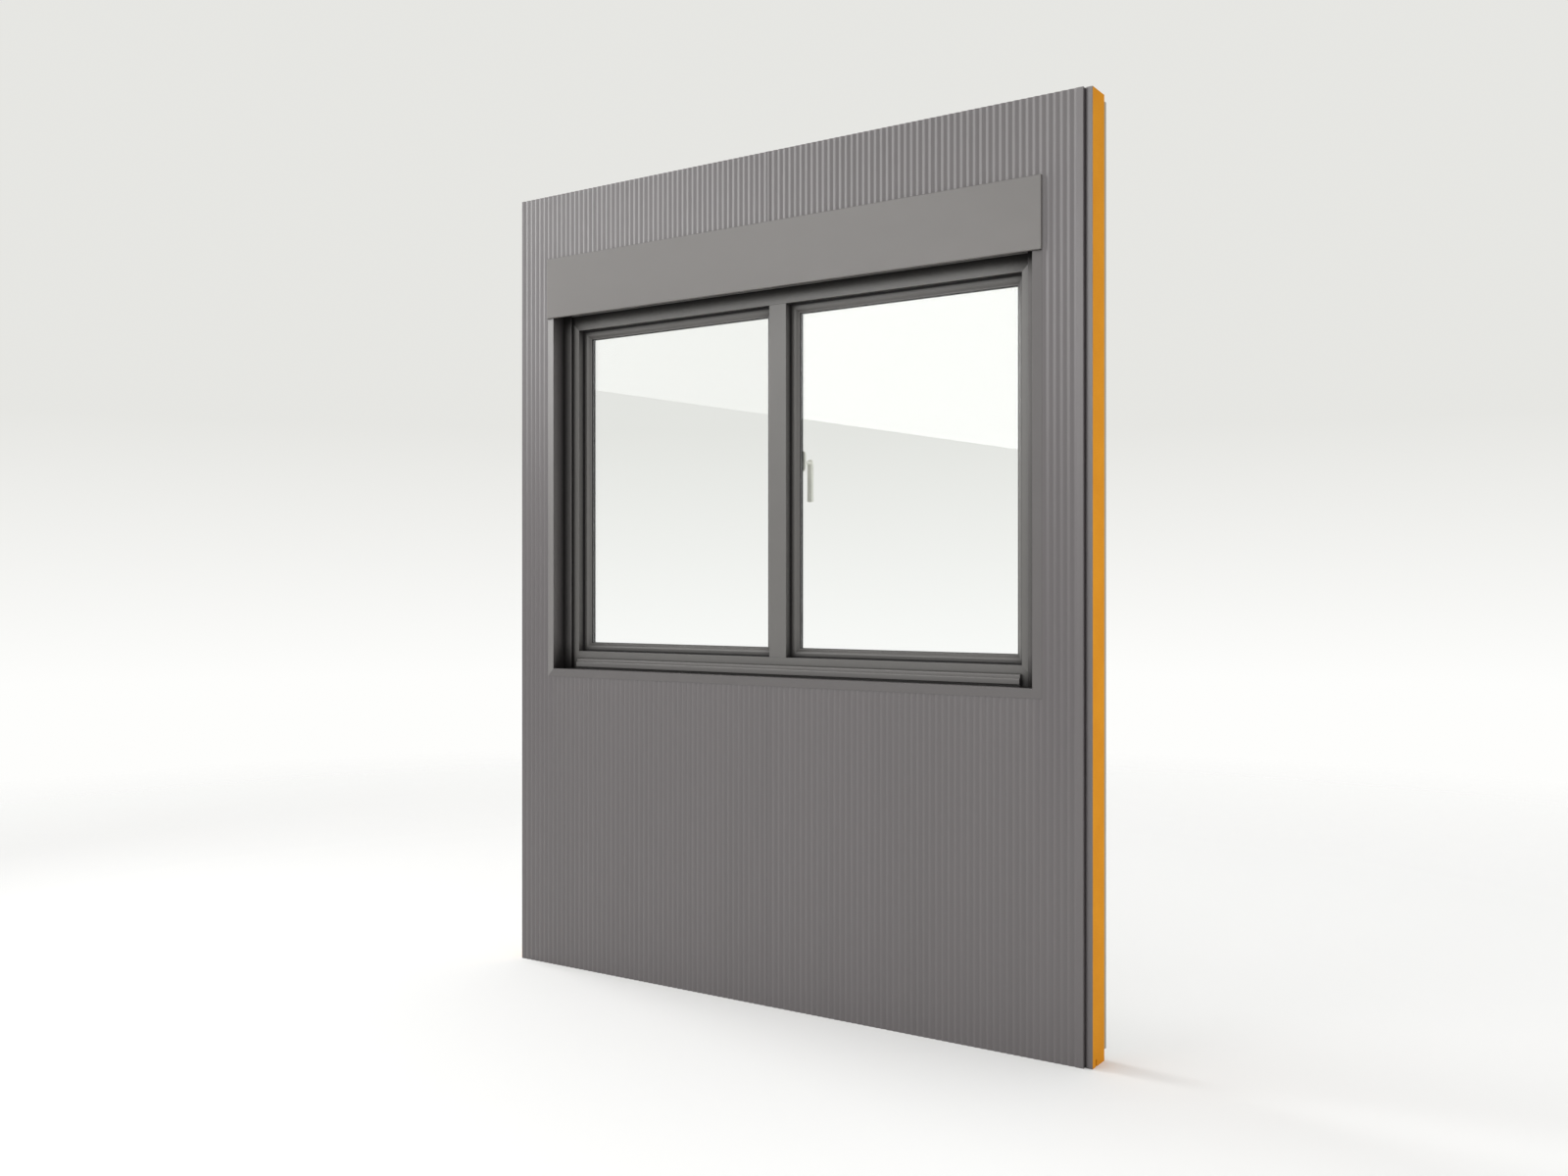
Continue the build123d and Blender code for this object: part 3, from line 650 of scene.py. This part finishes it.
def sashes():
    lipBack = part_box("frame_left")[0].y + sashSection["frameLip"]
    front = lipBack + sashSection["sealGap"]
    for light in ("fixed", "sliding"):
        low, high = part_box(f"{light}_sash_left")[0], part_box(f"{light}_sash_right")[1]
        near, far = (corner.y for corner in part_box(f"{light}_glazing"))
        ends = (low.x, high.x, low.z, high.z)
        sashBars(light, ends, front, high.y, near, far)
        frameSeal(light, ends, lipBack, front)
        gaskets(light, ends, near, far)
        glazing(light, ends, near, far)


windowFrame()
mullionBar()
sashes()
print("frame, mullion, sashes and glazing made")


# Casing angles on the weather side and in the room
def angleRuns(prefix):  # left, right and bottom angle: its side, its run and which ends are mitred
    low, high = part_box(f"{prefix}_bottom")
    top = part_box(f"{prefix}_left")[1].z
    tall = top - low.z
    return [
        ("left", (Vector((low.x, 0, low.z)), upward, eastward, tall), (True, False)),
        ("right", (Vector((high.x, 0, top)), downward, westward, tall), (False, True)),
        ("bottom", (Vector((high.x, 0, low.z)), westward, upward, high.x - low.x), (True, True)),
    ]


def casings():
    spec = {"flange": 0.027, "sheet": 0.004, "edge": 0.0004, "fold": 0.002, "rounding": 0.00015, "foldRadius": 0.001}
    low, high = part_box("casing_bottom")
    front, back, behind = low.y, high.y, low.y + spec["sheet"]
    flange, folded = spec["flange"], spec["flange"] - spec["fold"]
    outline = [(0, behind - spec["edge"]), (flange, front), (flange, back), (folded, back), (folded, behind),
               (0, behind)]
    for side, run, mitres in angleRuns("casing"):
        bar = mitredBar(f"casing{side.capitalize()}", *run, outline, spec["rounding"], *mitres,
                        softCorners=(1,), softRadius=spec["foldRadius"])
        # the left angle takes the plain casing finish, the right and lower angles the darker painted-shade copy
        fit(shaped(bar), casingCoat if side == "left" else shadedDullCasing, "casing_metal", f"casing_{side}")


def revealCheeks():
    spec = {"rounding": 0.0005}
    for side in ("left", "right"):
        low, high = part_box(f"reveal_cheek_{side}")
        drawn = [(low.x, low.y), (high.x, low.y), (high.x, high.y), (low.x, high.y)]
        cheek = uprightBar(f"revealCheek{side.capitalize()}", low.z, high.z, drawn, spec["rounding"])
        fit(shaped(cheek), casingCoat, "casing_metal", f"reveal_cheek_{side}")


def roomCasings():
    spec = {"flange": 0.025, "sheet": 0.002, "rounding": 0.0007}
    low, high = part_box("room_casing_bottom")
    near, far, behind = low.y, high.y, low.y + spec["sheet"]
    flange, folded = spec["flange"], spec["flange"] - spec["sheet"]
    outline = [(0, near), (flange, near), (flange, far), (folded, far), (folded, behind), (0, behind)]
    for side, run, mitres in angleRuns("room_casing"):
        bar = mitredBar(f"roomCasing{side.capitalize()}", *run, outline, spec["rounding"], *mitres)
        fit(shaped(bar), casingCoat, "casing_metal", f"room_casing_{side}")


# Sill strip with two soft beads over an undercut
def sillStrip():
    spec = {"bead": 0.005, "undercut": 0.006, "rounding": 0.0006, "beadRadius": 0.0042}
    low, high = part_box("sill")
    front, back, bottom, top = low.y, high.y, low.z, high.z
    bead, cut = spec["bead"], spec["undercut"]
    drawn = [(back, top), (back, bottom), (front + cut, bottom), (front + cut, bottom + cut), (front, bottom + cut),
             (front, top - 2 * bead), (front + bead, top - 2 * bead), (front + bead, top)]
    strip = acrossBar("sillStrip", low, high, drawn, spec["rounding"], (5, 7), spec["beadRadius"])
    fit(shaped(strip), sillFoil, "sill_plastic", "sill")


# Shutter guide rails with their brush strips
def guideRails():
    spec = {"wall": 0.0025, "slot": 0.022, "rounding": 0.0006}
    brush = {"start": 0.001, "end": 0.006, "tall": 0.0018, "low": 0.00108, "below": 0.034, "above": 0.036,
             "rounding": 0.0004}
    for name, node, side in (("guideRailLeft", "guide_rail_left", -1), ("guideRailRight", "guide_rail_right", 1)):
        low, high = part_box(node)
        mouth, wall = (high.x, low.x) if side < 0 else (low.x, high.x)
        floor = mouth + side * spec["slot"]
        front, back = low.y, high.y
        near, far = front + spec["wall"], back - spec["wall"]
        drawn = [(mouth, front), (wall, front), (wall, back), (mouth, back), (mouth, far), (floor, far),
                 (floor, near), (mouth, near)]
        rail = uprightBar(name, low.z, high.z, drawn, spec["rounding"])
        fit(shaped(rail), railCoat, "rail_metal", node)
        inside, deep = mouth + side * brush["start"], mouth + side * brush["end"]
        drawn = [(inside, near), (deep, near), (deep, near + brush["low"]), (inside, near + brush["tall"])]
        bottom, top = low.z + brush["below"], high.z - brush["above"]
        strip = uprightBar(name + "Brush", bottom, top, drawn, brush["rounding"])
        fit(shaped(strip), sealRubber, "seal_rubber")


casings()
revealCheeks()
roomCasings()
sillStrip()
guideRails()
print("casings, sill and guide rails made")


# Shutter cover: a tray folded from one sheet
def shutterCover():
    spec = {"sheet": 0.002, "fold": 0.0022, "foldSegments": 4}
    low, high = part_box("shutter_cover")
    half = (low.y + high.y) / 2
    cover = block("shutterCover", low, high)
    bpy.ops.object.mode_set(mode="EDIT")
    pick(cover, "FACE", lambda c, n: n.y > 0.9)  # open at the back
    bpy.ops.mesh.delete(type="FACE")
    pick(cover, "EDGE", lambda a, b: a.y < half or b.y < half)
    bpy.ops.mesh.bevel(offset=spec["fold"], segments=spec["foldSegments"], affect="EDGES")
    bpy.ops.mesh.select_all(action="SELECT")
    bpy.ops.mesh.normals_make_consistent(inside=False)
    bpy.ops.object.mode_set(mode="OBJECT")
    thickened(cover, spec["sheet"])
    bpy.ops.object.mode_set(mode="EDIT")
    fit(shaped(cover), coverCoat, "cover_metal", "shutter_cover")


# Shutter box: a folded shell with an inspection flap in the room, and two end plates
def shutterBox():
    spec = {"wall": 0.008, "corner": 0.006, "seam": 0.0012, "seamDepth": 0.0016, "flapMargin": 0.014,
            "endRounding": 0.0005, "smooth": 25}
    floorLow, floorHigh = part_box("shutter_box_floor")
    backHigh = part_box("shutter_box_back")[1]
    wall, seam = spec["wall"], spec["seam"]
    room, near, front = backHigh.y, floorLow.y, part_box("shutter_box_roof")[0].y
    floor, roof = floorLow.z, backHigh.z
    drawn = [(near, floor), (room, floor)]
    for level in (floor + spec["flapMargin"], roof - spec["flapMargin"]):  # seam lines of the flap
        drawn += [(room, level - seam), (room - spec["seamDepth"], level - seam / 2),
                  (room - spec["seamDepth"], level + seam / 2), (room, level + seam)]
    drawn += [(room, roof), (front, roof), (front, roof - wall), (room - wall, roof - wall),
              (room - wall, floor + wall), (near, floor + wall)]
    roomCorners = (1, 10)  # lower and upper corner of the shell in the room
    shell = acrossBar("shutterBoxShell", floorLow, floorHigh, drawn, 0.0, roomCorners, spec["corner"])
    fit(shaped(shell, spec["smooth"]), boxPlastic, "box_plastic", "shutter_box_floor", "shutter_box_back",
        "shutter_box_roof")
    for side in ("left", "right"):
        low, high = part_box(f"shutter_box_{side}_end")
        drawn = [(low.y, low.z), (high.y, low.z), (high.y, high.z), (low.y, high.z)]
        plate = acrossBar(f"shutterBoxEnd{side.capitalize()}", low, high, drawn, spec["endRounding"])
        fit(shaped(plate), boxPlastic, "box_plastic", f"shutter_box_{side}_end")


# End slat with a rounded nose and a groove along its face
def endSlat():
    spec = {"groove": 0.0012, "mouth": 0.003, "floor": 0.002, "rounding": 0.0009}
    low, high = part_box("shutter_end_slat")
    middle, deep = (low.z + high.z) / 2, low.y + spec["groove"]
    drawn = [(low.y, low.z), (high.y, low.z), (high.y, high.z), (low.y, high.z), (low.y, middle + spec["mouth"]),
             (deep, middle + spec["floor"]), (deep, middle - spec["floor"]), (low.y, middle - spec["mouth"])]
    slat = acrossBar("shutterEndSlat", low, high, drawn, spec["rounding"])
    fit(shaped(slat), slatCoat, "slat_metal", "shutter_end_slat")


# Running rail and upper guide on the room side
def tracks():
    spec = {"groove": 0.008, "rounding": 0.0007}
    for name, node, way in (("runningRail", "running_rail", 1), ("upperGuide", "upper_guide", -1)):
        low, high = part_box(node)
        base, tip = (low.z, high.z) if way > 0 else (high.z, low.z)
        floor = tip - way * spec["groove"]
        middle = (low.y + high.y) / 2
        near, far = middle - spec["groove"] / 2, middle + spec["groove"] / 2
        drawn = [(low.y, base), (high.y, base), (high.y, tip), (far, tip), (far, floor), (near, floor), (near, tip),
                 (low.y, tip)]
        rail = acrossBar(name, low, high, drawn, spec["rounding"])
        fit(shaped(rail), trackMetal, "track_metal", node)


# Handle: an oval rose, and a lever pulled from one block
def handleRose():
    spec = {"facets": 48, "inset": 0.004, "bevel": 0.003, "bevelSegments": 4, "rimSlack": 2e-4}
    low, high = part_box("handle_rose")
    middle = (low + high) / 2
    radius = (high.x - low.x) / 2
    stretch = (high.z - low.z) / 2 - radius
    bpy.ops.object.select_all(action="DESELECT")
    bpy.ops.mesh.primitive_cylinder_add(vertices=spec["facets"], radius=radius, depth=high.y - low.y,
                                        location=middle, rotation=(math.pi / 2, 0, 0))
    rose = bpy.context.object
    rose.name = "handleRose"
    bpy.ops.object.transform_apply(location=True, rotation=True, scale=True)
    bpy.ops.object.mode_set(mode="EDIT")
    for way in (1, -1):  # pulled into a long oval
        pick(rose, "VERT", lambda co: way * (co.z - middle.z) > onLine)
        bpy.ops.transform.translate(value=(0, 0, way * stretch))
    pick(rose, "FACE", lambda c, n: n.y > 0.9)
    bpy.ops.mesh.inset(thickness=spec["inset"])

    def onRim(co):  # on the outer edge of the oval, room side
        along = max(0.0, abs(co.z - middle.z) - stretch)
        offRim = abs(math.hypot(co.x - middle.x, along) - radius)
        return co.y > high.y - onLine and offRim < spec["rimSlack"]

    pick(rose, "EDGE", lambda a, b: onRim(a) and onRim(b))
    bpy.ops.mesh.bevel(offset=spec["bevel"], segments=spec["bevelSegments"], affect="EDGES")
    fit(shaped(rose), handleFinish, "handle_plastic", "handle_rose")


def handleLever():
    spec = {"grip": 0.013, "tip": 0.004, "taper": 0.030, "crown": 0.003, "neckInset": 0.0022, "neckRoot": 0.004,
            "neckFoot": 0.002, "longEdge": 0.02, "edge": 0.003, "edgeSegments": 2, "rounds": 2, "smooth": 60}
    low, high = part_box("handle_lever")
    wide = high.x - low.x
    gripFront = high.y - spec["grip"]
    shoulder, crown = high.z - wide, high.z - spec["crown"]
    lever = block("handleLever", Vector((low.x, gripFront, low.z)), high)
    bpy.ops.object.mode_set(mode="EDIT")
    for level in (low.z + spec["tip"], low.z + spec["taper"], shoulder, crown):
        bpy.ops.mesh.select_all(action="SELECT")
        bpy.ops.mesh.bisect(plane_co=(0, 0, level), plane_no=upward)
    pick(lever, "FACE", lambda c, n: n.y < -0.9 and shoulder < c.z < crown)
    bpy.ops.mesh.inset(thickness=spec["neckInset"])
    neck = low.y + spec["neckFoot"] - (gripFront - spec["neckRoot"])
    for step in (-spec["neckRoot"], neck, -spec["neckFoot"]):
        bpy.ops.mesh.extrude_region_move(TRANSFORM_OT_translate={"value": (0, step, 0)})
    pick(lever, "EDGE", lambda a, b: abs(a.z - b.z) > spec["longEdge"] and min(a.y, b.y) > gripFront - wideSlack)
    bpy.ops.mesh.bevel(offset=spec["edge"], segments=spec["edgeSegments"], affect="EDGES")
    bpy.ops.mesh.select_all(action="SELECT")
    bpy.ops.mesh.normals_make_consistent(inside=False)
    bpy.ops.object.mode_set(mode="OBJECT")
    bpy.ops.object.modifier_add(type="SUBSURF")
    rounding = lever.modifiers[-1]
    rounding.levels = rounding.render_levels = spec["rounds"]
    bpy.ops.object.modifier_apply(modifier=rounding.name)
    bpy.ops.object.mode_set(mode="EDIT")
    fit(shaped(lever, spec["smooth"]), handleFinish, "handle_plastic", "handle_lever")


shutterCover()
shutterBox()
endSlat()
tracks()
handleRose()
handleLever()
print("shutter, tracks and handle made")

# CAD nodes that stay take the finish of their slot
subparts = frame["record"].get("subparts", [])
slotOfNode = {entry["node"]: entry.get("material_slot") for entry in subparts if "node" in entry}
for name, node in nodes.items():
    finish = finishOfSlot.get(slotOfNode.get(name))
    if finish is None:
        continue
    if not node.material_slots:
        node.data.materials.append(finish)
    for slot in node.material_slots:
        slot.material = finish


# Studio: pale floor that fades into the air, panels of light at the left, in front and at the right, camera
def studioFloor():
    spec = {"reach": 7.5, "facets": 96, "fade": (3.4, 7.0), "tone": (0.85, 0.85, 0.838), "lift": 0.068, "shine": 0.1,
            "speckScale": 60, "speckSpan": (0.3, 0.7), "rough": (0.75, 0.9)}
    bpy.ops.object.select_all(action="DESELECT")
    bpy.ops.mesh.primitive_circle_add(vertices=spec["facets"], radius=spec["reach"], fill_type="NGON",
                                      location=(0, 0, 0))
    floor = bpy.context.object
    floor.name = "studioFloor"
    finish, tree, shader, place = newFinish("floorPaper")
    shader.inputs["Base Color"].default_value = (*spec["tone"], 1)
    shader.inputs["Specular IOR Level"].default_value = spec["shine"]
    speck = noiseOf(tree, place, spec["speckScale"])
    tree.links.new(ranged(tree, speck, *spec["speckSpan"], *spec["rough"]), shader.inputs["Roughness"])
    eyes = tree.nodes.new("ShaderNodeLightPath").outputs["Is Camera Ray"]
    tree.links.new(ranged(tree, eyes, 0, 1, 0, spec["lift"]), shader.inputs["Emission Strength"])
    shader.inputs["Emission Color"].default_value = (1, 1, 1, 1)
    length = tree.nodes.new("ShaderNodeVectorMath")
    length.operation = "LENGTH"
    tree.links.new(place, length.inputs[0])
    fade = ranged(tree, length.outputs["Value"], *spec["fade"], 0, 1)
    clear = tree.nodes.new("ShaderNodeBsdfTransparent")
    surface = tree.nodes["Material Output"].inputs["Surface"]
    blended(tree, fade, shader.outputs["BSDF"], clear.outputs["BSDF"], surface)
    floor.data.materials.append(finish)


def larger(tree, first, second):
    node = tree.nodes.new("ShaderNodeMath")
    node.operation = "MAXIMUM"
    tree.links.new(first, node.inputs[0])
    tree.links.new(second, node.inputs[1])
    return node.outputs["Value"]


def studioAir():  # one tone to see, plain light for everything else
    spec = {"light": 0.66, "low": (0.99, 0.99, 0.975), "high": (0.795, 0.795, 0.768), "climb": (-0.06, 0.11)}
    air = bpy.data.worlds.new("studioAir")
    bpy.context.scene.world = air
    air.use_nodes = True
    tree = air.node_tree
    tree.nodes.clear()
    out = tree.nodes.new("ShaderNodeOutputWorld")
    seen = tree.nodes.new("ShaderNodeBackground")
    light = tree.nodes.new("ShaderNodeBackground")
    light.inputs["Color"].default_value = (1, 1, 1, 1)
    light.inputs["Strength"].default_value = spec["light"]
    split = tree.nodes.new("ShaderNodeSeparateXYZ")
    tree.links.new(tree.nodes.new("ShaderNodeTexCoord").outputs["Generated"], split.inputs["Vector"])
    climb = ranged(tree, split.outputs["Z"], *spec["climb"], 0, 1)
    tree.links.new(toned(tree, climb, spec["low"], spec["high"]), seen.inputs["Color"])
    rays = tree.nodes.new("ShaderNodeLightPath").outputs
    shown = larger(tree, larger(tree, rays["Is Camera Ray"], rays["Is Glossy Ray"]), rays["Is Transmission Ray"])
    blended(tree, shown, light.outputs["Background"], seen.outputs["Background"], out.inputs["Surface"])


def studioLamps():
    panels = {  # upright panels; turn in degrees about z
        "near": {"place": (-4.14, -3.075, 4.45), "size": (5.39, 3.7), "power": 95.0, "turn": -83},
        "far": {"place": (-3.259, -10.125, 4.45), "size": (8.82, 3.7), "power": 300.0, "turn": -83},
        "side": {"place": (-4.3, -1.3, 2.95), "size": (2.2, 1.9), "power": 24.0, "turn": -90},
        "front": {"place": (2.9, -7.5, 4.45), "size": (3.6, 3.2), "power": 48.0, "turn": 0},
        "fill": {"place": (4.2, -0.45, 1.3), "size": (2.2, 2.6), "power": 4.0, "turn": 90, "spread": 50},
    }
    sunlight = {"place": (-6.0, 0.8, 2.6), "lean": 68, "turn": -92.5, "strength": 2.4, "angle": 34}
    for name, spec in panels.items():
        bpy.ops.object.light_add(type="AREA", location=spec["place"])
        lamp = bpy.context.object
        lamp.name = name + "Light"
        lamp.data.shape = "RECTANGLE"
        lamp.data.size, lamp.data.size_y = spec["size"]
        lamp.data.energy = spec["power"]
        lamp.data.spread = math.radians(spec.get("spread", 180))
        lamp.rotation_euler = (math.radians(90), 0, math.radians(spec["turn"]))
        lamp.visible_camera = False
    bpy.ops.object.light_add(type="SUN", location=sunlight["place"])
    sun = bpy.context.object
    sun.name = "windowLight"
    sun.data.energy = sunlight["strength"]
    sun.data.angle = math.radians(sunlight["angle"])
    sun.visible_glossy = False  # no glitter on the ribs
    sun.rotation_euler = (math.radians(sunlight["lean"]), 0, math.radians(sunlight["turn"]))  # along the wall


def photoCamera():
    spec = {"place": (2.391, -3.5485, 1.248), "turn": 33.67, "lens": 32.59, "sensor": 36}
    bpy.ops.object.camera_add(location=spec["place"], rotation=(math.radians(90), 0, math.radians(spec["turn"])))
    eye = bpy.context.object
    eye.name = "photoCamera"
    eye.data.lens = spec["lens"]
    eye.data.sensor_width = spec["sensor"]
    bpy.context.scene.camera = eye


bpy.context.scene.view_settings.view_transform = "Standard"
studioFloor()
studioAir()
studioLamps()
photoCamera()
print("studio and camera set")
